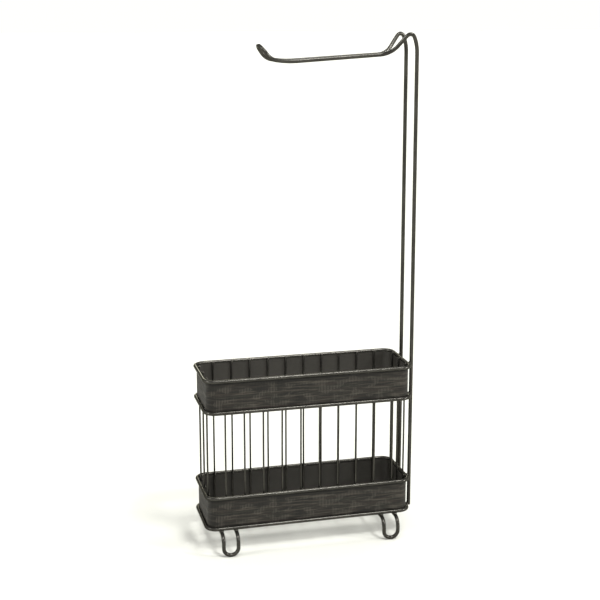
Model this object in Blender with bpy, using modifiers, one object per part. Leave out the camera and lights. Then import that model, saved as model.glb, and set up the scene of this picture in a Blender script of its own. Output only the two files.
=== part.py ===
"""Free-standing toilet paper holder with a deep wire basket.

A twin-wire pole rises from the right end of a slim basket, bends over at the top and runs
back over the basket as a twin-wire roll arm with an up-turned end. The basket is a cage of
thin uprights inside four thick rings. A woven band fills the space between the two upper
rings, and another the space between the two lower ones. Two wire loops under the basket
make its four feet.

Metres, +Z up, +X towards the pole, -Y towards the front. The origin is the middle of the
bounding box, at floor level.
"""
import math

import bmesh
import bpy

# Wires
WIRE = 0.0051           # rings, pole, roll arm and feet
ROD = 0.0024            # uprights and floor of the basket
GAP = 0.0003            # left between pieces that are welded or pressed together
BEVEL_RESOLUTION = 2
SIDES = 8               # faces round a wire at that resolution

# Basket
PITCH = 0.0254          # from one front or back upright to the next
UPRIGHTS_PER_SIDE = 10
UPRIGHT_ROW_X = 0.1358  # the end uprights stand at plus and minus this
UPRIGHT_ROW_Y = 0.0420  # the front and back uprights stand at plus and minus this
END_UPRIGHT_Y = (-0.027, 0.0, 0.027)
BAND_THICKNESS = 0.0012
RING_CORNER = 0.014     # centre-line radius of a ring's corners
CORNER_STEPS = 6
LOWEST_RING_Z = 0.0345
RING_STEP = 0.0425      # between the two rings that hold a band
TIER_STEP = 0.160       # from the lower pair of rings to the upper pair

# Feet
LEFT_FOOT_X = -0.1118   # middle of each foot loop
RIGHT_FOOT_X = 0.1092
FOOT_HALF_WIDTH = 0.010
FOOT_RUN = 0.0472       # half the straight run under the basket
FOOT_BEND = 0.012       # radius of the bend down to each foot
FOOT_BEND_STEPS = 6
TURN_STEPS = 9          # round a hairpin; odd, so that the lowest stretch of a foot lies flat

# Pole and roll arm
POLE_Y = -0.005         # middle of the pole and arm, just in front of the basket's middle
POLE_HALF_WIDTH = 0.021     # half the distance between the pole's strands
POLE_FOOT_Z = 0.0335
POLE_LEAN = 0.08        # degrees that the pole leans in over the basket, above the rim
CREST_Z = 0.67345       # centre-line at the top of the bend
EASY_BEND = 0.0535      # radius of the gentle bend that leads the pole into its crest
EASY_ANGLE = 22         # degrees from upright where that bend ends
CREST_BEND = 0.0054
DESCENT_ANGLE = 51.5    # degrees below level, from the crest to the arm
DESCENT = 0.0165
ARM_BEND = 0.029
ARM_DROOP = 3.4         # degrees that the arm falls towards its free end
ARM_LENGTH = 0.1118
CLOSING_START = 0.004   # how far in from the pole its strands begin to close in
NECK_HALF_WIDTH = 0.0055    # half the distance between the strands where the arm begins
TIP_HALF_WIDTH = 0.0135     # and at its free end
TIP_EASE_BEND = 0.123   # radius of the gentle bend that leads the arm into its up-turned end
TIP_EASE_ANGLE = 12.6   # degrees turned in that bend
TIP_BEND = 0.0188
TIP_ANGLE = 52.6        # degrees above level at the up-turned end
BEND_STEP = 12          # degrees turned at each point of a bend, at most

# Worked out from the above
WIRE_R = WIRE / 2
ROD_R = ROD / 2
RING_HALF_X = UPRIGHT_ROW_X + ROD_R + GAP + WIRE_R
RING_HALF_Y = UPRIGHT_ROW_Y + ROD_R + GAP + WIRE_R
RING_Z = (
    LOWEST_RING_Z,
    LOWEST_RING_Z + RING_STEP,
    LOWEST_RING_Z + TIER_STEP,
    LOWEST_RING_Z + TIER_STEP + RING_STEP,
)
POLE_X = RING_HALF_X + WIRE + GAP
MIDDLE_X = (RING_HALF_X - POLE_X) / 2   # brings the bounding box's middle to X = 0
FLAT_R = WIRE_R * math.cos(math.pi / SIDES)     # from a wire's centre-line to its flat faces

BRONZE = ("bronze_wire", (0.060, 0.056, 0.048), 0.75, 0.36)
WEAVE = ("woven_band", (0.052, 0.047, 0.040), 0.0, 0.80)


def clear_scene():
    for old in list(bpy.data.objects):
        bpy.data.objects.remove(old, do_unlink=True)


def make_collection(name):
    collection = bpy.data.collections.new(name)
    bpy.context.scene.collection.children.link(collection)
    return collection


def make_basket_middle():
    """The empty under the basket's middle, a little left of the origin, that carries it all."""
    middle = bpy.data.objects.new("basket_middle", None)
    middle.location = (MIDDLE_X, 0, 0)
    holder.objects.link(middle)
    return middle


def place(obj, location, look):
    """Puts obj at location from the basket's middle, with a Principled material of its own."""
    holder.objects.link(obj)
    obj.parent = basket_middle
    obj.location = location
    name, colour, metallic, roughness = look
    material = bpy.data.materials.new(f"{name}_{obj.name}")
    material.use_nodes = True
    shader = material.node_tree.nodes["Principled BSDF"]
    shader.inputs["Base Color"].default_value = (*colour, 1)
    shader.inputs["Metallic"].default_value = metallic
    shader.inputs["Roughness"].default_value = roughness
    obj.data.materials.append(material)
    return obj


def wire(name, location, points, radius, closed=False, tilt=0.0):
    """A round wire through points given from its location, capped unless it is closed."""
    curve = bpy.data.curves.new(name, "CURVE")
    curve.dimensions = "3D"
    curve.bevel_depth = radius
    curve.bevel_resolution = BEVEL_RESOLUTION
    curve.use_fill_caps = True
    spline = curve.splines.new("POLY")
    spline.points.add(len(points) - 1)
    for knot, point in zip(spline.points, points):
        knot.co = (*point, 1)
        knot.tilt = tilt
    spline.use_cyclic_u = closed
    return place(bpy.data.objects.new(name, curve), location, BRONZE)


def arc(radius, start, turn, steps):
    """Points on a circle about (0, 0), from angle start on through turn, in degrees."""
    angles = [math.radians(start + turn * k / steps) for k in range(steps + 1)]
    return [(radius * math.cos(a), radius * math.sin(a)) for a in angles]


def rounded_rectangle(half_x, half_y, corner):
    """An outline with round corners, anticlockwise from above."""
    outline = []
    for k, (sx, sy) in enumerate(((1, 1), (-1, 1), (-1, -1), (1, -1))):
        cx = sx * (half_x - corner)
        cy = sy * (half_y - corner)
        outline += [(cx + x, cy + y) for x, y in arc(corner, 90 * k, 90, CORNER_STEPS)]
    return outline


def make_ring(name, z):
    outline = rounded_rectangle(RING_HALF_X, RING_HALF_Y, RING_CORNER)
    wire(name, (0, 0, z), [(x, y, 0) for x, y in outline], WIRE_R, closed=True)


def make_band(name, low_ring_z):
    """A strip bent round the uprights, between the ring at low_ring_z and the one above it."""
    inset = WIRE_R + GAP - BAND_THICKNESS   # from a ring's centre-line in to the band's face
    outline = rounded_rectangle(RING_HALF_X - inset, RING_HALF_Y - inset, RING_CORNER - inset)
    height = RING_STEP - 2 * (WIRE_R + GAP)
    sheet = bmesh.new()
    low = [sheet.verts.new((x, y, 0)) for x, y in outline]
    bottom = [sheet.edges.new(pair) for pair in zip(low, low[1:] + low[:1])]
    grown = bmesh.ops.extrude_edge_only(sheet, edges=bottom)["geom"]
    top = [part for part in grown if isinstance(part, bmesh.types.BMVert)]
    bmesh.ops.translate(sheet, verts=top, vec=(0, 0, height))
    bmesh.ops.recalc_face_normals(sheet, faces=sheet.faces)
    mesh = bpy.data.meshes.new(name)
    sheet.to_mesh(mesh)
    sheet.free()
    band = bpy.data.objects.new(name, mesh)
    place(band, (0, 0, low_ring_z + WIRE_R + GAP), WEAVE)
    mesh.shade_smooth()
    wall = band.modifiers.new("wall", "SOLIDIFY")
    wall.thickness = BAND_THICKNESS
    wall.offset = -1    # inwards from the outline


def make_upright(name, x, y):
    """A thin upright from the lowest ring to the rim, inside the rings."""
    height = RING_Z[-1] - RING_Z[0] + ROD
    wire(name, (x, y, RING_Z[0] - ROD_R), [(0, 0, 0), (0, 0, height)], ROD_R)


def row_x(k):
    """X of upright k in the front or back row, counted from 0 at the left."""
    return (k - (UPRIGHTS_PER_SIDE - 1) / 2) * PITCH


def make_uprights():
    for k in range(UPRIGHTS_PER_SIDE):
        make_upright(f"front_upright_{k + 1:02d}", row_x(k), -UPRIGHT_ROW_Y)
        make_upright(f"back_upright_{k + 1:02d}", row_x(k), UPRIGHT_ROW_Y)
    for k, y in enumerate(END_UPRIGHT_Y):
        make_upright(f"left_upright_{k + 1}", -UPRIGHT_ROW_X, y)
        make_upright(f"right_upright_{k + 1}", UPRIGHT_ROW_X, y)


def make_floor():
    """Wires across the basket between each pair of uprights, and long wires on top of them."""
    half_x = UPRIGHT_ROW_X - ROD_R - GAP
    half_y = UPRIGHT_ROW_Y - ROD_R - GAP
    across = [(0, -half_y, 0), (0, half_y, 0)]
    along = [(-half_x, 0, 0), (half_x, 0, 0)]
    for k in range(UPRIGHTS_PER_SIDE):
        wire(f"floor_cross_wire_{k + 1:02d}", (row_x(k), 0, RING_Z[0]), across, ROD_R)
    for k, y in enumerate(END_UPRIGHT_Y):
        wire(f"floor_long_wire_{k + 1}", (0, y, RING_Z[0] + ROD + GAP), along, ROD_R)


def foot_end():
    """The front end of a foot loop: down one bend, round the foot and up the other bend."""
    run_z = RING_Z[0] - WIRE - GAP
    front = -FOOT_RUN - FOOT_BEND
    turn_z = (FOOT_HALF_WIDTH + FLAT_R) * math.cos(math.pi / TURN_STEPS / 2)  # flat on the floor
    down = [
        (-FOOT_HALF_WIDTH, -FOOT_RUN - y, run_z - FOOT_BEND + z)
        for z, y in arc(FOOT_BEND, 0, 90, FOOT_BEND_STEPS)
    ]
    turn = [(x, front, turn_z + z) for x, z in arc(FOOT_HALF_WIDTH, 180, 180, TURN_STEPS)]
    up = [(-x, y, z) for x, y, z in reversed(down)]
    return down + turn + up


def make_foot_loop(name, x):
    """Two runs under the basket, joined by a foot at the front and another at the back."""
    front = foot_end()
    back = [(-px, -py, pz) for px, py, pz in front]
    wire(name, (x, 0, 0), front + back, WIRE_R, closed=True, tilt=math.pi / SIDES)


def strand_outline():
    """The pole and arm seen from the front, as X and Z from foot to tip.

    Also gives X where the arm begins, and the heading at the tip. The heading starts
    upwards. It turns left over the crest, and right along the arm.
    """
    sine = math.sin(math.radians(EASY_ANGLE))
    z = CREST_Z - EASY_BEND * sine - CREST_BEND * (1 - sine)
    x = POLE_X - math.tan(math.radians(POLE_LEAN)) * (z - RING_Z[-1])
    heading = 90 + POLE_LEAN
    outline = [(POLE_X, POLE_FOOT_Z), (POLE_X, RING_Z[-1]), (x, z)]
    moves = (
        (EASY_BEND, EASY_ANGLE - POLE_LEAN, 0),
        (CREST_BEND, 90 + DESCENT_ANGLE - EASY_ANGLE, DESCENT),
        (ARM_BEND, ARM_DROOP - DESCENT_ANGLE, ARM_LENGTH),
        (TIP_EASE_BEND, -TIP_EASE_ANGLE, 0),
        (TIP_BEND, TIP_EASE_ANGLE - ARM_DROOP - TIP_ANGLE, 0),
    )
    bend_ends = []
    for radius, turn, straight in moves:
        steps = math.ceil(abs(turn) / BEND_STEP)
        step = turn / steps
        chord = 2 * radius * math.sin(math.radians(abs(step) / 2))
        for _ in range(steps):
            x += chord * math.cos(math.radians(heading + step / 2))
            z += chord * math.sin(math.radians(heading + step / 2))
            heading += step
            outline.append((x, z))
        bend_ends.append(x)
        if straight:
            x += straight * math.cos(math.radians(heading))
            z += straight * math.sin(math.radians(heading))
            outline.append((x, z))
    arm_start = bend_ends[2]
    return outline, arm_start, math.radians(heading)


def share_of_way(start, end, x):
    """0 up to start and 1 beyond end, which lies to its left."""
    return min(max((start - x) / (start - end), 0), 1)


def strand_half_width(x, arm_start, tip_x):
    """Half the distance between the strands, which close in from pole to arm, then spread."""
    closing = share_of_way(POLE_X - CLOSING_START, arm_start, x)
    closing = closing * closing * (3 - 2 * closing)
    spreading = share_of_way(arm_start, tip_x, x)
    arm = NECK_HALF_WIDTH + (TIP_HALF_WIDTH - NECK_HALF_WIDTH) * spreading
    return POLE_HALF_WIDTH + (arm - POLE_HALF_WIDTH) * closing


def make_pole_and_arm():
    """One wire: up the front of the pole, out along the arm, round its tip and back."""
    outline, arm_start, heading = strand_outline()
    tip_x, tip_z = outline[-1]
    front = [(x, -strand_half_width(x, arm_start, tip_x), z) for x, z in outline]
    turn = [
        (tip_x + out * math.cos(heading), across, tip_z + out * math.sin(heading))
        for out, across in arc(TIP_HALF_WIDTH, -90, 180, TURN_STEPS)[1:-1]
    ]
    back = [(x, -y, z) for x, y, z in reversed(front)]
    wire("pole_and_roll_arm", (0, POLE_Y, 0), front + turn + back, WIRE_R)


clear_scene()
holder = make_collection("toilet_paper_holder")
basket_middle = make_basket_middle()
make_ring("lower_band_bottom_ring", RING_Z[0])
make_ring("lower_band_top_ring", RING_Z[1])
make_ring("upper_band_bottom_ring", RING_Z[2])
make_ring("basket_rim", RING_Z[3])
make_band("lower_woven_band", RING_Z[0])
make_band("upper_woven_band", RING_Z[2])
make_uprights()
make_floor()
make_foot_loop("left_foot_loop", LEFT_FOOT_X)
make_foot_loop("right_foot_loop", RIGHT_FOOT_X)
make_pole_and_arm()
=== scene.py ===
"""A free-standing toilet paper holder: bronze wire basket with woven bands, pole and roll arm.

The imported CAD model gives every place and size. Each of its plain wires is replaced here by
a finer round one, each plain band by a woven strip with a liner, and the welds are added.
Metres, +Z up, +X towards the pole, -Y towards the front.
"""
import math
import random

import bpy
import numpy as np
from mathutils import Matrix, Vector, noise


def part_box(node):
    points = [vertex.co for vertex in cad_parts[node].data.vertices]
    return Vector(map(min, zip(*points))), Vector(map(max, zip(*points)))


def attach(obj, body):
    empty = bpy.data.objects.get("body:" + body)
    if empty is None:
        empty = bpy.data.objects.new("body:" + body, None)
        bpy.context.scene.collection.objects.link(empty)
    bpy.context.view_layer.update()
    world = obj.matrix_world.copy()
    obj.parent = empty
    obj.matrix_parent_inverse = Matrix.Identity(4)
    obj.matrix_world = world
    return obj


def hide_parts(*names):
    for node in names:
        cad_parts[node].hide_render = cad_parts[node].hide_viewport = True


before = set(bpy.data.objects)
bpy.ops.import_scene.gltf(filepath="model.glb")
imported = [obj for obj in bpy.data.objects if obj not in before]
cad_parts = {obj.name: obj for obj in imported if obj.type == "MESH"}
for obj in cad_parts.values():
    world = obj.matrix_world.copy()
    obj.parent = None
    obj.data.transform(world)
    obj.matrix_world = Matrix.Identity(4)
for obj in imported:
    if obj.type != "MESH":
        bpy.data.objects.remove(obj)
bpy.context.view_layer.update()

# Shapes that the CAD nodes' boxes don't tell
RING_CORNER = 0.014         # centre-line radius of a ring's corners
FOOT_BEND = 0.012           # radius of the bend down to each foot
POLE_LEAN = 0.08            # degrees that the pole leans in over the basket, above the rim
EASY_BEND = 0.0535          # radius of the gentle bend that leads the pole into its crest
EASY_ANGLE = 22             # degrees from upright where that bend ends
CREST_BEND = 0.0054
DESCENT_ANGLE = 51.5        # degrees below level, from the crest to the arm
DESCENT = 0.0165            # straight stretch on that way
ARM_BEND = 0.029
ARM_DROOP = 3.4             # degrees that the arm falls towards its free end
ARM_LENGTH = 0.1118         # straight stretch of the arm
CLOSING_START = 0.004       # how far in from the pole its strands begin to close in
NECK_HALF_WIDTH = 0.0055    # half the distance between the strands where the arm begins
TIP_HALF_WIDTH = 0.0135     # and at its free end
TIP_EASE_BEND = 0.123       # radius of the gentle bend that leads the arm into its raised end
TIP_EASE_ANGLE = 12.6       # degrees turned in that bend
TIP_BEND = 0.0188
TIP_ANGLE = 52.6            # degrees above level at the raised end

# Fineness
WIRE_SIDES = 20
ROD_SIDES = 12
BEND_STEP = 5               # degrees turned at each point of a bend
STRAIGHT_STEP = 0.01        # between the points of a straight stretch of the arm
UPRIGHT_STEPS = 8           # stretches of an upright between the two bands
BEAD_ROWS = 7
BEAD_COLUMNS = 12

# Traces of the making
UPRIGHT_BOW = (0.00022, 0.00016)    # the most that an upright is out of true along X and Y
CUT_EDGE = 0.22             # worn edge of a wire's cut end, as a share of its radius
CUT_EDGE_BREAK = 0.3        # how far along that edge its slope changes, as a share of it
BEAD_SWELL = 0.16           # how much a weld bead's lumps rise and dip, as a share of its reach
BEAD_LUMPINESS = 1.7        # a higher number gives a bead more and smaller lumps

# Weld beads, by their reach from the middle along X, Y and Z
UPRIGHT_BEAD = (0.00085, 0.0019, 0.0020)
POLE_BEAD = (0.0011, 0.0030, 0.0029)
FOOT_BEAD = (0.0029, 0.0030, 0.0011)
CROSSING_BEAD = (0.0013, 0.0013, 0.0008)
LONG_END_BEAD = (0.0008, 0.0014, 0.0014)
CROSS_END_BEAD = (0.0014, 0.0008, 0.0014)
UPRIGHT_BEAD_OUT = 0.0001   # from an upright's surface out to its bead's middle
FOOT_BEAD_UP = 0.0002       # from a foot loop's top up to its bead's middle

# Weave
WEFT_ROWS = 26              # yarns along the band, one above the other
WARP_COLUMNS = 348          # threads up the band, all the way round; even, so the weave closes
ROW_SAMPLES = 3             # points across a yarn
COLUMN_SAMPLES = 3          # points from one thread to the next
WEAVE_SWELL = 0.00016       # how far a yarn rises and dips at its crossings
YARN_CROWN = 0.00030        # how far a yarn's middle stands above its edges
YARN_ROUNDNESS = 0.9        # 0 gives a yarn a flat top and 1 a full round
THREAD_CROWN = 0.95         # how far a thread's middle stands out, in yarn crowns
THREAD_FALL = 1.6           # how far it falls by halfway to the next thread, in yarn crowns
WEAVE_DEPTH = 0.0006        # from the weave's highest points in to its back
WEAVE_TUCK = 0.74           # the weave ends this far from a ring's middle, in ring wire radii
LINER_TUCK = 0.5            # and the liner this far
LINER_THICKNESS = 0.0004
SHADED_EDGE = 0.0060        # painted shade: the weave's colour darkens from this far below its top edge
DARKEST_EDGE = 0.0020       # and is darkest from here up, in the ring's painted shadow

# Colours
PAINT_DARK = (0.042, 0.040, 0.0355)
PAINT_LIGHT = (0.062, 0.0595, 0.052)
PAINT_FLECK = (0.115, 0.106, 0.086)
EDGE_TINT = (0.45, 0.45, 0.43, 1)   # the paint brightens little towards its outline
WELD_DARK = (0.056, 0.053, 0.046)
WELD_LIGHT = (0.105, 0.100, 0.087)
YARN_DARK = (0.0030, 0.0026, 0.0020)
YARN_LIGHT = (0.0215, 0.0187, 0.0145)
YARN_BLACK = (0.003, 0.0027, 0.0022)
STREAK_LIGHT = (0.058, 0.0505, 0.0395)
STREAK_DARK = (0.004, 0.0036, 0.0030)
OLIVE = (0.018, 0.021, 0.013)
MAUVE = (0.032, 0.021, 0.016)
THREAD = (0.088, 0.080, 0.065)
FIBRE = (0.009, 0.008, 0.0065)
BOARD_DARK = (0.0195, 0.0172, 0.0131)
BOARD_LIGHT = (0.0245, 0.0218, 0.0170)
BOARD_GRAIN = (0.017, 0.015, 0.012)
FLOOR_DARK = (0.630, 0.630, 0.577)
FLOOR_LIGHT = (0.650, 0.650, 0.597)
HORIZON = (1.02, 1.02, 0.99)
ZENITH = (0.72, 0.72, 0.72)
ZENITH_START = 0.7          # sine of the elevation from which the room has the zenith's colour

# Far soft lights, each by its azimuth, elevation, strength and spread, with angles in degrees
LIGHTS = {
    "key_right": (26, 57, 1.7, 12),
    "key_top": (-12, 62, 0.5, 12),
    "top": (120, 73, 0.7, 14),
    "low_left": (-80, 30, 0.9, 15),
    "low_right": (61, 23, 1.7, 10),
    "low_back": (172, 17, 0.9, 14),
}

# Camera
LENS = 73.9                 # millimetres
LENS_SHIFT = -1 / 30        # the view moved down, as a share of its width
CAMERA_LEFT = 0.3993        # from the basket's middle, as is the next
CAMERA_FORWARD = 1.5383
CAMERA_UP = 0.7108          # above the floor
CAMERA_PITCH = 0.2204       # radians below level
CAMERA_TURN = 0.2520        # radians to the right of straight back


def node_box(name):
    low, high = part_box(name)
    return low, high, (low + high) / 2


rim_low, rim_high, rim_middle = node_box("basket_rim")
pole_low, pole_high, pole_middle = node_box("pole_and_roll_arm")
WIRE_R = (rim_high.z - rim_low.z) / 2
MIDDLE_X = rim_middle.x                         # the basket's middle, a little left of X = 0
POLE_X = pole_high.x - WIRE_R
POLE_HALF_WIDTH = (pole_high.y - pole_low.y) / 2 - WIRE_R
RING_HALF_X = (rim_high.x - rim_low.x) / 2 - WIRE_R
RING_HALF_Y = (rim_high.y - rim_low.y) / 2 - WIRE_R
RINGS = (
    "lower_band_bottom_ring",
    "lower_band_top_ring",
    "upper_band_bottom_ring",
    "basket_rim",
)
RING_Z = [node_box(name)[2].z for name in RINGS]
upright_low, upright_high, _ = node_box("front_upright_01")
ROD_R = (upright_high.x - upright_low.x) / 2
WELD_GAP = node_box("floor_long_wire_1")[0].z - RING_Z[0] - ROD_R   # as CAD leaves at a weld
UPRIGHTS = sorted(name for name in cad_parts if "_upright_" in name)
FLOOR_WIRES = sorted(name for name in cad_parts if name.startswith("floor_"))
FOOT_LOOPS = ("left_foot_loop", "right_foot_loop")


# ---------------------------------------------------------------- mesh helpers

def new_object(name, vertices, faces, material):
    """A smooth-shaded mesh object that rides on the stand's one body."""
    mesh = bpy.data.meshes.new(name)
    mesh.from_pydata([tuple(v) for v in vertices], [], faces)
    mesh.shade_smooth()
    mesh.materials.append(material)
    obj = bpy.data.objects.new(name, mesh)
    bpy.context.scene.collection.objects.link(obj)
    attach(obj, "root")
    return obj


def arc(radius, start, turn):
    """Points on a circle about (0, 0), from angle start on through turn, in degrees."""
    steps = max(2, math.ceil(abs(turn) / BEND_STEP))
    angles = [math.radians(start + turn * k / steps) for k in range(steps + 1)]
    return [(radius * math.cos(a), radius * math.sin(a)) for a in angles]


def corner_centres(half_x, half_y, corner):
    """Middles of the four corners' arcs, anticlockwise from above, from the back right one."""
    return [
        (MIDDLE_X + sx * (half_x - corner), sy * (half_y - corner))
        for sx, sy in ((1, 1), (-1, 1), (-1, -1), (1, -1))
    ]


def rounded_rectangle(half_x, half_y, corner):
    """An outline about the basket's middle, anticlockwise from above."""
    outline = []
    for k, (cx, cy) in enumerate(corner_centres(half_x, half_y, corner)):
        outline += [(cx + x, cy + y) for x, y in arc(corner, 90 * k, 90)]
    return outline


def directions(points, closed):
    """The unit tangent at each point."""
    if closed:
        chords = np.roll(points, -1, 0) - np.roll(points, 1, 0)
    else:
        chords = np.gradient(points, axis=0)
    return chords / np.linalg.norm(chords, axis=1)[:, None]


def frames(points, closed):
    """Two unit normals at each point, carried along without twist, and closed up on a loop."""
    along_no_wire = (0.31, 0.17, 0.93)
    tangents = directions(points, closed)
    normal = np.cross(tangents[0], along_no_wire)
    normal /= np.linalg.norm(normal)
    normals = [normal]
    for tangent in tangents[1:]:
        normal = normal - tangent * (normal @ tangent)
        normal /= np.linalg.norm(normal)
        normals.append(normal)
    normals = np.array(normals)
    sides = np.cross(tangents, normals)
    if closed:
        last = normals[-1] - tangents[0] * (normals[-1] @ tangents[0])
        slip = math.atan2(last @ sides[0], last @ normals[0])
        turn = -slip * np.arange(len(points)) / len(points)
        cosine, sine = np.cos(turn)[:, None], np.sin(turn)[:, None]
        normals, sides = normals * cosine + sides * sine, sides * cosine - normals * sine
    return normals, sides


def loop_faces(loops, count, closed):
    """Faces between each loop of count vertices and the next, and, if closed, from the last
    loop to the first."""
    faces = []
    for k in range(loops if closed else loops - 1):
        here = k * count
        there = (k + 1) % loops * count
        for c in range(count):
            d = (c + 1) % count
            faces.append((here + c, here + d, there + d, there + c))
    return faces


def sweep(points, radii, sides, closed):
    """Vertices and faces of a round tube along points, with a radius at each, capped if open."""
    points = np.array(points, float)
    radii = np.broadcast_to(np.array(radii, float), (len(points),))
    normals, across = frames(points, closed)
    angles = np.arange(sides) * 2 * math.pi / sides
    spokes = (
        normals[:, None] * np.cos(angles)[None, :, None]
        + across[:, None] * np.sin(angles)[None, :, None]
    )
    vertices = (points[:, None] + spokes * radii[:, None, None]).reshape(-1, 3)
    faces = loop_faces(len(points), sides, closed)
    if not closed:
        end = (len(points) - 1) * sides
        faces.append(tuple(range(sides))[::-1])
        faces.append(tuple(range(end, end + sides)))
    return vertices, faces


def with_cut_ends(points, radius):
    """Points and radii of an open wire whose cut ends have their sharp edge worn off."""
    points = [Vector(p) for p in points]
    edge = radius * CUT_EDGE
    start = (points[1] - points[0]).normalized()
    end = (points[-2] - points[-1]).normalized()
    path = [points[0], points[0] + start * edge * CUT_EDGE_BREAK, points[0] + start * edge]
    path += points[1:-1]
    path += [points[-1] + end * edge, points[-1] + end * edge * CUT_EDGE_BREAK, points[-1]]
    radii = [radius - edge, radius - edge * CUT_EDGE_BREAK] + [radius] * (len(path) - 4)
    radii += [radius - edge * CUT_EDGE_BREAK, radius - edge]
    return path, radii


def make_wire(name, points, radius, sides, node, closed=False):
    radii = radius
    if not closed:
        points, radii = with_cut_ends(points, radius)
    vertices, faces = sweep(points, radii, sides, closed)
    obj = new_object(name, vertices, faces, bronze)
    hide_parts(node)


# ---------------------------------------------------------------- materials

class Nodes:
    """Short calls for building a material's node tree."""

    def __init__(self, name):
        self.material = bpy.data.materials.new(name)
        self.material.use_nodes = True
        self.tree = self.material.node_tree
        self.shader = self.tree.nodes["Principled BSDF"]

    def add(self, kind, **settings):
        node = self.tree.nodes.new(kind)
        for key, value in settings.items():
            setattr(node, key, value)
        return node

    def link(self, source, target):
        self.tree.links.new(source, target)

    def feed(self, socket, value):
        if isinstance(value, bpy.types.NodeSocket):
            self.link(value, socket)
        else:
            socket.default_value = value

    def math(self, operation, a, b=0.0):
        node = self.add("ShaderNodeMath", operation=operation)
        self.feed(node.inputs[0], a)
        self.feed(node.inputs[1], b)
        return node.outputs[0]

    def span(self, value, from_low, from_high, to_low=0.0, to_high=1.0):
        """value carried from one span of numbers to another, smoothly and clamped."""
        node = self.add("ShaderNodeMapRange", interpolation_type="SMOOTHSTEP")
        for socket, number in zip(node.inputs, (value, from_low, from_high, to_low, to_high)):
            self.feed(socket, number)
        return node.outputs[0]

    def noise(self, vector, scale, detail=3.0, roughness=0.5):
        node = self.add("ShaderNodeTexNoise")
        self.feed(node.inputs["Vector"], vector)
        node.inputs["Scale"].default_value = scale
        node.inputs["Detail"].default_value = detail
        node.inputs["Roughness"].default_value = roughness
        return node.outputs["Fac"]

    def mix(self, share, a, b):
        node = self.add("ShaderNodeMix", data_type="RGBA")
        self.feed(node.inputs[0], share)
        self.feed(node.inputs[6], (*a, 1) if isinstance(a, tuple) else a)
        self.feed(node.inputs[7], (*b, 1) if isinstance(b, tuple) else b)
        return node.outputs[2]

    def bump(self, height, strength, distance):
        node = self.add("ShaderNodeBump")
        node.inputs["Strength"].default_value = strength
        node.inputs["Distance"].default_value = distance
        self.link(height, node.inputs["Height"])
        self.link(node.outputs["Normal"], self.shader.inputs["Normal"])

    def place(self):
        return self.add("ShaderNodeTexCoord").outputs["Object"]

    def vector(self, x, y, z):
        node = self.add("ShaderNodeCombineXYZ")
        for socket, value in zip(node.inputs, (x, y, z)):
            self.feed(socket, value)
        return node.outputs[0]

    def read(self, attribute):
        return self.add("ShaderNodeAttribute", attribute_name=attribute).outputs["Fac"]

    def set(self, **values):
        """The shader's inputs, each named with _ for a space."""
        for key, value in values.items():
            self.feed(self.shader.inputs[key.replace("_", " ")], value)


def bronze_paint():
    """Satin dark bronze paint: a fine metallic fleck, a faint orange peel and rubbed patches."""
    n = Nodes("bronze_paint")
    place = n.place()
    cloud = n.noise(place, 38.0, 3.0)
    fleck = n.noise(place, 2600.0, 1.0)
    peel = n.noise(place, 620.0, 2.0)
    tone = n.mix(n.span(cloud, 0.35, 0.68), PAINT_DARK, PAINT_LIGHT)
    tone = n.mix(n.span(fleck, 0.60, 0.72, 0.0, 0.2), tone, PAINT_FLECK)
    n.set(Base_Color=tone, Metallic=0.8, Specular_IOR_Level=0.0)
    n.set(Specular_Tint=EDGE_TINT)
    n.set(Roughness=n.span(cloud, 0.3, 0.7, 0.19, 0.25))
    n.bump(peel, 0.015, 0.0004)
    return n.material


def weld_paint():
    """The same paint over a weld, where it lies a little rougher and lighter."""
    n = Nodes("painted_weld")
    grain = n.noise(n.place(), 900.0, 3.0)
    tone = n.mix(n.span(grain, 0.35, 0.65), WELD_DARK, WELD_LIGHT)
    n.set(Base_Color=tone, Metallic=0.8, Specular_IOR_Level=0.0)
    n.set(Specular_Tint=EDGE_TINT)
    n.set(Roughness=n.span(grain, 0.3, 0.7, 0.28, 0.40))
    n.bump(grain, 0.25, 0.0003)
    return n.material


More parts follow.
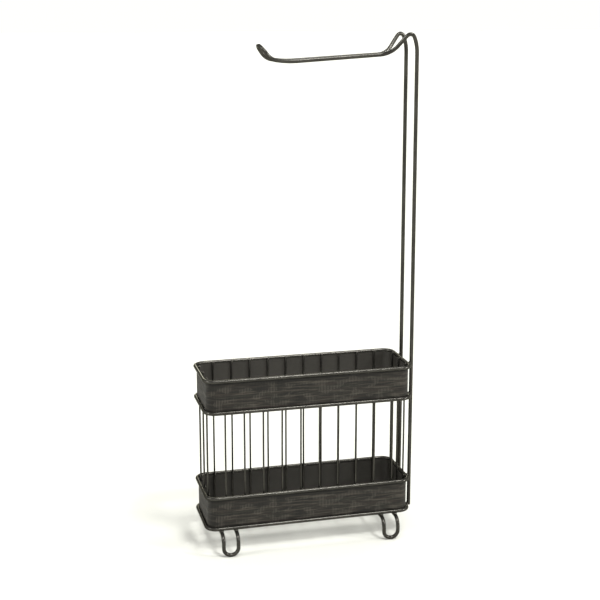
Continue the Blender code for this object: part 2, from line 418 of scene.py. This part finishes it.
def woven_yarn(warp_pitch, weft_pitch):
    """Dark mixed yarns. Every yarn has its own tone, which drifts along it, and the thin
    threads across them show through in patches. A painted shadow darkens the weave under its top
    ring."""
    n = Nodes("woven_yarn")
    along = n.read("along")
    up = n.read("up")

    def drift(rate, lane, seed, detail, roughness=0.5):
        """Noise that changes at rate along the yarns, and from lane to lane."""
        place = n.vector(n.math("MULTIPLY", along, rate), lane, seed)
        return n.noise(place, 1.0, detail, roughness)

    row = n.math("FLOOR", n.math("DIVIDE", up, weft_pitch))
    yarn = n.math("MULTIPLY", row, 7.31)                # far from the lanes of its neighbours
    yarn_and_half = n.math("DIVIDE", up, 1.5 * weft_pitch)
    slub = drift(26.0, yarn, 0.0, 4.0, 0.62)
    long_drift = drift(7.0, yarn, 3.7, 2.0)
    streak = drift(24.0, yarn_and_half, 9.1, 3.0)
    hue = drift(18.0, yarn, 21.0, 2.0)
    patch = drift(55.0, n.math("MULTIPLY", up, 120.0), 5.0, 1.0)
    fibre = drift(900.0, n.math("MULTIPLY", up, 5200.0), 0.0, 2.0)

    colour = n.mix(n.span(slub, 0.36, 0.64), YARN_DARK, YARN_LIGHT)
    colour = n.mix(n.span(long_drift, 0.50, 0.70, 0.0, 0.55), colour, YARN_BLACK)
    colour = n.mix(n.span(streak, 0.53, 0.66, 0.0, 0.75), colour, STREAK_LIGHT)
    colour = n.mix(n.span(streak, 0.46, 0.34, 0.0, 0.70), colour, STREAK_DARK)
    colour = n.mix(n.span(hue, 0.52, 0.66, 0.0, 0.30), colour, OLIVE)
    colour = n.mix(n.span(hue, 0.48, 0.34, 0.0, 0.30), colour, MAUVE)

    from_thread = n.math("PINGPONG", n.math("DIVIDE", along, warp_pitch), 0.5)
    on_thread = n.span(from_thread, 0.24, 0.12)
    shows = n.math("MULTIPLY", on_thread, n.span(patch, 0.50, 0.60, 0.07, 0.60))
    colour = n.mix(shows, colour, THREAD)
    colour = n.mix(n.span(fibre, 0.35, 0.65, 0.0, 0.28), colour, FIBRE)

    height = WEFT_ROWS * weft_pitch
    # painted shade: the yarn colour darkens towards the top edge, where the ring above shades
    # the band
    painted_ring_shadow = n.span(up, height - SHADED_EDGE, height - DARKEST_EDGE, 0.0, 0.72)
    colour = n.mix(painted_ring_shadow, colour, YARN_BLACK)
    n.set(Base_Color=colour, Roughness=n.span(slub, 0.3, 0.7, 0.50, 0.68))
    n.set(Specular_IOR_Level=0.26)
    n.bump(fibre, 0.35, 0.00012)
    return n.material


def liner_board():
    """The smooth brown board behind the weave."""
    n = Nodes("liner_board")
    place = n.place()
    cloud = n.noise(place, 24.0, 3.0)
    grain = n.noise(place, 1500.0, 2.0)
    tone = n.mix(n.span(cloud, 0.35, 0.65), BOARD_DARK, BOARD_LIGHT)
    tone = n.mix(n.span(grain, 0.45, 0.75, 0.0, 0.25), tone, BOARD_GRAIN)
    n.set(Base_Color=tone, Roughness=n.span(grain, 0.3, 0.7, 0.48, 0.60))
    n.bump(grain, 0.12, 0.0002)
    return n.material


def studio_floor():
    n = Nodes("studio_floor")
    tone = n.mix(n.noise(n.place(), 1.5, 2.0), FLOOR_DARK, FLOOR_LIGHT)
    n.set(Base_Color=tone, Roughness=0.9, Specular_IOR_Level=0.0)
    return n.material


# ---------------------------------------------------------------- wires

def make_rings():
    outline = rounded_rectangle(RING_HALF_X, RING_HALF_Y, RING_CORNER)
    for name, z in zip(RINGS, RING_Z):
        points = [(x, y, z) for x, y in outline]
        make_wire(f"{name}_wire", points, WIRE_R, WIRE_SIDES, name, closed=True)


def make_uprights():
    """Each upright is a little out of true between the two bands, as drawn wire is."""
    rng = random.Random(11)
    for name in UPRIGHTS:
        low, high, middle = node_box(name)
        bow_x = rng.uniform(-1, 1) * UPRIGHT_BOW[0]
        bow_y = rng.uniform(-1, 1) * UPRIGHT_BOW[1]
        points = [(middle.x, middle.y, low.z)]
        for k in range(UPRIGHT_STEPS + 1):
            share = k / UPRIGHT_STEPS
            z = RING_Z[1] + (RING_Z[2] - RING_Z[1]) * share
            out = math.sin(math.pi * share) ** 2
            points.append((middle.x + bow_x * out, middle.y + bow_y * out, z))
        points.append((middle.x, middle.y, high.z))
        make_wire(f"{name}_rod", points, ROD_R, ROD_SIDES, name)


def make_floor_wires():
    for name in FLOOR_WIRES:
        low, high, middle = node_box(name)
        if "long" in name:
            points = [(low.x, middle.y, middle.z), middle, (high.x, middle.y, middle.z)]
        else:
            points = [(middle.x, low.y, middle.z), middle, (middle.x, high.y, middle.z)]
        make_wire(f"{name}_rod", points, ROD_R, ROD_SIDES, name)


def make_foot_loops():
    """Each is one closed wire that bends down and turns round at its front and back foot."""
    run_z = RING_Z[0] - WIRE_R * 2 - WELD_GAP
    for name in FOOT_LOOPS:
        low, high, middle = node_box(name)
        half_width = (high.x - low.x) / 2 - WIRE_R
        front = low.y + WIRE_R
        run_end = front + FOOT_BEND
        turn_z = WIRE_R + half_width
        down = [
            (-half_width, run_end - y, run_z - FOOT_BEND + z) for z, y in arc(FOOT_BEND, 0, 90)
        ]
        turn = [(x, front, turn_z + z) for x, z in arc(half_width, 180, 180)]
        up = [(-x, y, z) for x, y, z in reversed(down)]
        end = down + turn + up
        loop = end + [(-x, -y, z) for x, y, z in end]
        points = [(middle.x + x, y, z) for x, y, z in loop]
        make_wire(f"{name}_wire", points, WIRE_R, WIRE_SIDES, name, closed=True)


def strand_outline():
    """The pole and arm seen from the front, as X and Z from foot to tip.

    Also gives X where the arm begins, and the heading at the tip. The heading starts
    upwards. It turns left over the crest, and right along the arm.
    """
    sine = math.sin(math.radians(EASY_ANGLE))
    z = pole_high.z - WIRE_R - EASY_BEND * sine - CREST_BEND * (1 - sine)
    x = POLE_X - math.tan(math.radians(POLE_LEAN)) * (z - RING_Z[3])
    heading = 90 + POLE_LEAN
    outline = [(POLE_X, pole_low.z), (POLE_X, RING_Z[3]), (x, z)]
    moves = (
        (EASY_BEND, EASY_ANGLE - POLE_LEAN, 0),
        (CREST_BEND, 90 + DESCENT_ANGLE - EASY_ANGLE, DESCENT),
        (ARM_BEND, ARM_DROOP - DESCENT_ANGLE, ARM_LENGTH),
        (TIP_EASE_BEND, -TIP_EASE_ANGLE, 0),
        (TIP_BEND, TIP_EASE_ANGLE - ARM_DROOP - TIP_ANGLE, 0),
    )
    bend_ends = []
    for radius, turn, straight in moves:
        steps = math.ceil(abs(turn) / BEND_STEP)
        step = turn / steps
        chord = 2 * radius * math.sin(math.radians(abs(step) / 2))
        for _ in range(steps):
            x += chord * math.cos(math.radians(heading + step / 2))
            z += chord * math.sin(math.radians(heading + step / 2))
            heading += step
            outline.append((x, z))
        bend_ends.append(x)
        pieces = math.ceil(straight / STRAIGHT_STEP)
        for _ in range(pieces):
            x += straight / pieces * math.cos(math.radians(heading))
            z += straight / pieces * math.sin(math.radians(heading))
            outline.append((x, z))
    arm_start = bend_ends[2]
    return outline, arm_start, math.radians(heading)


def share_of_way(start, end, x):
    """0 up to start and 1 beyond end, which lies to its left."""
    return min(max((start - x) / (start - end), 0), 1)


def strand_half_width(x, arm_start, tip_x):
    """Half the distance between the strands, which close in from pole to arm, then spread."""
    closing = share_of_way(POLE_X - CLOSING_START, arm_start, x)
    closing = closing * closing * (3 - 2 * closing)
    spreading = share_of_way(arm_start, tip_x, x)
    arm = NECK_HALF_WIDTH + (TIP_HALF_WIDTH - NECK_HALF_WIDTH) * spreading
    return POLE_HALF_WIDTH + (arm - POLE_HALF_WIDTH) * closing


def make_pole_and_arm():
    """One wire: up the front of the pole, out along the arm, round its tip and back."""
    outline, arm_start, heading = strand_outline()
    y0 = pole_middle.y
    tip_x, tip_z = outline[-1]
    front = [(x, y0 - strand_half_width(x, arm_start, tip_x), z) for x, z in outline]
    turn = [
        (tip_x + out * math.cos(heading), y0 + across, tip_z + out * math.sin(heading))
        for out, across in arc(TIP_HALF_WIDTH, -90, 180)[1:-1]
    ]
    back = [(x, 2 * y0 - y, z) for x, y, z in reversed(front)]
    points = front + turn + back
    make_wire("pole_and_roll_arm_wire", points, WIRE_R, WIRE_SIDES, "pole_and_roll_arm")


# ---------------------------------------------------------------- welds

def bead(centre, reach, seed):
    """Vertices and faces of one lumpy weld bead, reaching out by reach along X, Y and Z."""
    ball = [Vector((0, 0, 1))]
    for r in range(1, BEAD_ROWS):
        tilt = math.pi * r / BEAD_ROWS
        for c in range(BEAD_COLUMNS):
            turn = 2 * math.pi * c / BEAD_COLUMNS
            ball.append(Vector((
                math.sin(tilt) * math.cos(turn), math.sin(tilt) * math.sin(turn), math.cos(tilt)
            )))
    ball.append(Vector((0, 0, -1)))
    faces = []
    for c in range(BEAD_COLUMNS):
        d = (c + 1) % BEAD_COLUMNS
        faces.append((0, 1 + c, 1 + d))
        for r in range(BEAD_ROWS - 2):
            here = 1 + r * BEAD_COLUMNS
            there = here + BEAD_COLUMNS
            faces.append((here + c, there + c, there + d, here + d))
        here = 1 + (BEAD_ROWS - 2) * BEAD_COLUMNS
        faces.append((here + c, len(ball) - 1, here + d))
    shift = Vector((seed * 3.1, seed * 1.7, seed))      # so that no two beads are alike
    vertices = []
    for v in ball:
        swell = 1 + BEAD_SWELL * noise.noise(v * BEAD_LUMPINESS + shift)
        vertices.append(Vector(centre) + Vector([a * b * swell for a, b in zip(v, reach)]))
    return vertices, faces


def make_beads(name, places):
    """One piece of weld beads, each given by its centre and its reach along X, Y and Z."""
    vertices = []
    faces = []
    for seed, (centre, reach) in enumerate(places):
        more, cells = bead(centre, reach, seed + 1)
        faces += [tuple(i + len(vertices) for i in cell) for cell in cells]
        vertices += more
    new_object(name, vertices, faces, weld)


def upright_welds(z):
    """On the +X side of each upright, where it meets the ring at height z."""
    places = []
    for name in UPRIGHTS:
        middle = node_box(name)[2]
        x = middle.x + ROD_R + UPRIGHT_BEAD_OUT
        places.append(((x, middle.y, z), UPRIGHT_BEAD))
    return places


def pole_welds():
    """Where the pole's two strands stand against the rings."""
    contact_x = pole_high.x - 2 * WIRE_R
    return [
        ((contact_x, pole_middle.y + side * POLE_HALF_WIDTH, z), POLE_BEAD)
        for z in RING_Z for side in (-1, 1)
    ]


def foot_welds():
    """Where the foot loops cross under the bottom ring."""
    places = []
    for name in FOOT_LOOPS:
        low, high, _ = node_box(name)
        for x in (low.x + WIRE_R, high.x - WIRE_R):
            for side in (-1, 1):
                places.append(((x, side * RING_HALF_Y, high.z + FOOT_BEAD_UP), FOOT_BEAD))
    return places


def floor_welds():
    """Where the long floor wires cross the others, and where both meet the uprights."""
    places = []
    cross_wires = [node_box(name) for name in FLOOR_WIRES if "cross" in name]
    long_wires = [node_box(name) for name in FLOOR_WIRES if "long" in name]
    for low, high, middle in long_wires:
        for _, _, other in cross_wires:
            centre = (other.x, middle.y, (middle.z + other.z) / 2)
            places.append((centre, CROSSING_BEAD))
        for x in (low.x, high.x):
            places.append(((x, middle.y, middle.z), LONG_END_BEAD))
    for low, high, middle in cross_wires:
        for y in (low.y, high.y):
            places.append(((middle.x, y, middle.z), CROSS_END_BEAD))
    return places


def make_welds():
    for name, z in zip(RINGS, RING_Z):
        make_beads(f"{name}_welds", upright_welds(z))
    make_beads("pole_welds", pole_welds())
    make_beads("foot_welds", foot_welds())
    make_beads("floor_welds", floor_welds())


# ---------------------------------------------------------------- woven bands

def outline_samples(half_x, half_y, corner, count):
    """count points evenly spaced round a rounded rectangle, from the middle of its back on,
    with the outward normal at each, and the outline's length."""
    centres = corner_centres(half_x, half_y, corner)
    straights = [2 * (half_x - corner), 2 * (half_y - corner)] * 2
    quarter = math.pi / 2 * corner
    length = sum(straights) + 4 * quarter
    points = []
    normals = []
    for k in range(count):
        rest = (k * length / count + straights[0] / 2) % length
        for side, straight in enumerate(straights):
            out = math.pi / 2 * (side + 1)
            if rest < straight:
                x, y = centres[side]
                x -= rest * math.sin(out)
                y += rest * math.cos(out)
                break
            rest -= straight
            if rest < quarter:
                x, y = centres[(side + 1) % 4]
                out += rest / corner
                break
            rest -= quarter
        points.append((x + corner * math.cos(out), y + corner * math.sin(out)))
        normals.append((math.cos(out), math.sin(out)))
    return np.array(points), np.array(normals), length


def weave_relief(column, row):
    """How far the weave stands out at a place counted in warp columns and weft rows."""
    yarn = np.floor(row)
    parity = np.where(yarn % 2 == 0, 1.0, -1.0)
    swing = np.cos(math.pi * column) * parity
    across = (row - yarn - 0.5) * 2
    crown = np.sqrt(np.clip(1 - across ** 2 * YARN_ROUNDNESS, 0, 1)) * YARN_CROWN
    weft = WEAVE_SWELL * swing + crown
    off_thread = np.abs(column - np.round(column)) * 2
    thread = YARN_CROWN * (THREAD_CROWN - THREAD_FALL * off_thread ** 2)
    warp = -WEAVE_SWELL * swing + thread
    return np.maximum(weft, warp)


def band_inset(name):
    """How far a band's CAD strip has its outer face inside the rings' centre lines."""
    low, high, _ = node_box(name)
    return RING_HALF_X - (high.x - low.x) / 2


def store(obj, name, values):
    """A number at each of the mesh's vertices, for a material to read."""
    attribute = obj.data.attributes.new(name, "FLOAT", "POINT")
    attribute.data.foreach_set("value", np.array(values, np.float32))


def make_weave(name, low_ring_z, high_ring_z):
    """The woven strip of one band, with a relief of yarns outside and a flat back."""
    tallest = YARN_CROWN + WEAVE_SWELL
    inset = band_inset(name) + tallest
    tuck = WIRE_R * WEAVE_TUCK
    low = low_ring_z + tuck
    height = high_ring_z - tuck - low
    count = WARP_COLUMNS * COLUMN_SAMPLES
    points, normals, length = outline_samples(
        RING_HALF_X - inset, RING_HALF_Y - inset, RING_CORNER - inset, count
    )
    rows = WEFT_ROWS * ROW_SAMPLES
    row = (np.arange(rows) + 0.5) / ROW_SAMPLES
    column = np.arange(count) / COLUMN_SAMPLES
    relief = weave_relief(column[None, :], row[:, None])
    z = low + row / WEFT_ROWS * height
    face = np.empty((rows, count, 3))
    face[..., :2] = points[None] + normals[None] * relief[..., None]
    face[..., 2] = z[:, None]
    back = tallest - WEAVE_DEPTH
    edges = []
    for z_edge, out in ((low, back), (low, 0.0), (low + height, 0.0), (low + height, back)):
        strip = np.empty((count, 3))
        strip[:, :2] = points + normals * out
        strip[:, 2] = z_edge
        edges.append(strip)
    grid = np.concatenate([[edges[0]], [edges[1]], face, [edges[2]], [edges[3]]])
    ups = np.concatenate([[0, 0], z - low, [height, height]])
    yarn = woven_yarn(length / WARP_COLUMNS, height / WEFT_ROWS)
    faces = loop_faces(len(grid), count, closed=True)
    obj = new_object(f"{name}_weave", grid.reshape(-1, 3), faces, yarn)
    store(obj, "along", np.tile(np.arange(count) * length / count, len(grid)))
    store(obj, "up", np.repeat(ups, count))
    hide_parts(name)


def make_liner(name, low_ring_z, high_ring_z):
    """The board behind the weave, a closed strip."""
    outer = band_inset(name) + WEAVE_DEPTH
    inner = outer + LINER_THICKNESS
    low = low_ring_z + WIRE_R * LINER_TUCK
    high = high_ring_z - WIRE_R * LINER_TUCK
    loops = []
    for inset, z in ((outer, low), (outer, high), (inner, high), (inner, low)):
        half_x = RING_HALF_X - inset
        half_y = RING_HALF_Y - inset
        outline = rounded_rectangle(half_x, half_y, RING_CORNER - inset)
        loops.append([(x, y, z) for x, y in outline])
    vertices = [v for loop in loops for v in loop]
    faces = loop_faces(len(loops), len(loops[0]), closed=True)
    obj = new_object(f"{name}_liner", vertices, faces, liner)
    obj.data.set_sharp_from_angle(angle=math.radians(40))
    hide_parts(name)


# ---------------------------------------------------------------- stage

def make_stage():
    size = 30.0
    corners = [(-size, -size, 0), (size, -size, 0), (size, size, 0), (-size, size, 0)]
    mesh = bpy.data.meshes.new("floor")
    mesh.from_pydata(corners, [], [(0, 1, 2, 3)])
    mesh.materials.append(studio_floor())
    floor = bpy.data.objects.new("floor", mesh)
    bpy.context.scene.collection.objects.link(floor)


def make_light(name, azimuth, elevation, strength, spread):
    """A far soft light. Azimuth 0 shines from the front and 90 from the right, in degrees."""
    lamp = bpy.data.lights.new(name, "SUN")
    lamp.energy = strength
    lamp.angle = math.radians(spread)
    obj = bpy.data.objects.new(name, lamp)
    a = math.radians(azimuth)
    e = math.radians(elevation)
    towards = Vector((math.sin(a) * math.cos(e), -math.cos(a) * math.cos(e), math.sin(e)))
    obj.rotation_mode = "QUATERNION"
    obj.rotation_quaternion = towards.to_track_quat("Z", "Y")
    bpy.context.scene.collection.objects.link(obj)


def make_world():
    """A pale room, brightest at the horizon."""
    world = bpy.data.worlds.new("room")
    bpy.context.scene.world = world
    world.use_nodes = True
    tree = world.node_tree
    place = tree.nodes.new("ShaderNodeTexCoord")
    split = tree.nodes.new("ShaderNodeSeparateXYZ")
    ramp = tree.nodes.new("ShaderNodeMapRange")
    shade = tree.nodes.new("ShaderNodeMix")
    shade.data_type = "RGBA"
    ramp.inputs["From Max"].default_value = ZENITH_START
    shade.inputs[6].default_value = (*HORIZON, 1)
    shade.inputs[7].default_value = (*ZENITH, 1)
    tree.links.new(place.outputs["Generated"], split.inputs[0])
    tree.links.new(split.outputs["Z"], ramp.inputs["Value"])
    tree.links.new(ramp.outputs[0], shade.inputs[0])
    tree.links.new(shade.outputs[2], tree.nodes["Background"].inputs["Color"])


def make_camera():
    camera = bpy.data.cameras.new("camera")
    camera.lens = LENS
    camera.shift_y = LENS_SHIFT
    camera.clip_end = 100
    obj = bpy.data.objects.new("camera", camera)
    obj.location = (MIDDLE_X - CAMERA_LEFT, -CAMERA_FORWARD, CAMERA_UP)
    obj.rotation_euler = (math.pi / 2 - CAMERA_PITCH, 0, -CAMERA_TURN)
    bpy.context.scene.collection.objects.link(obj)
    bpy.context.scene.camera = obj


bronze = bronze_paint()
weld = weld_paint()
liner = liner_board()
make_rings()
make_uprights()
make_floor_wires()
make_foot_loops()
make_pole_and_arm()
make_welds()
BANDS = (("lower_woven_band", RING_Z[0], RING_Z[1]), ("upper_woven_band", RING_Z[2], RING_Z[3]))
for band in BANDS:
    make_weave(*band)
for band in BANDS:
    make_liner(*band)
make_stage()
make_world()
for light, settings in LIGHTS.items():
    make_light(light, *settings)
make_camera()
bpy.context.scene.view_settings.view_transform = "Standard"
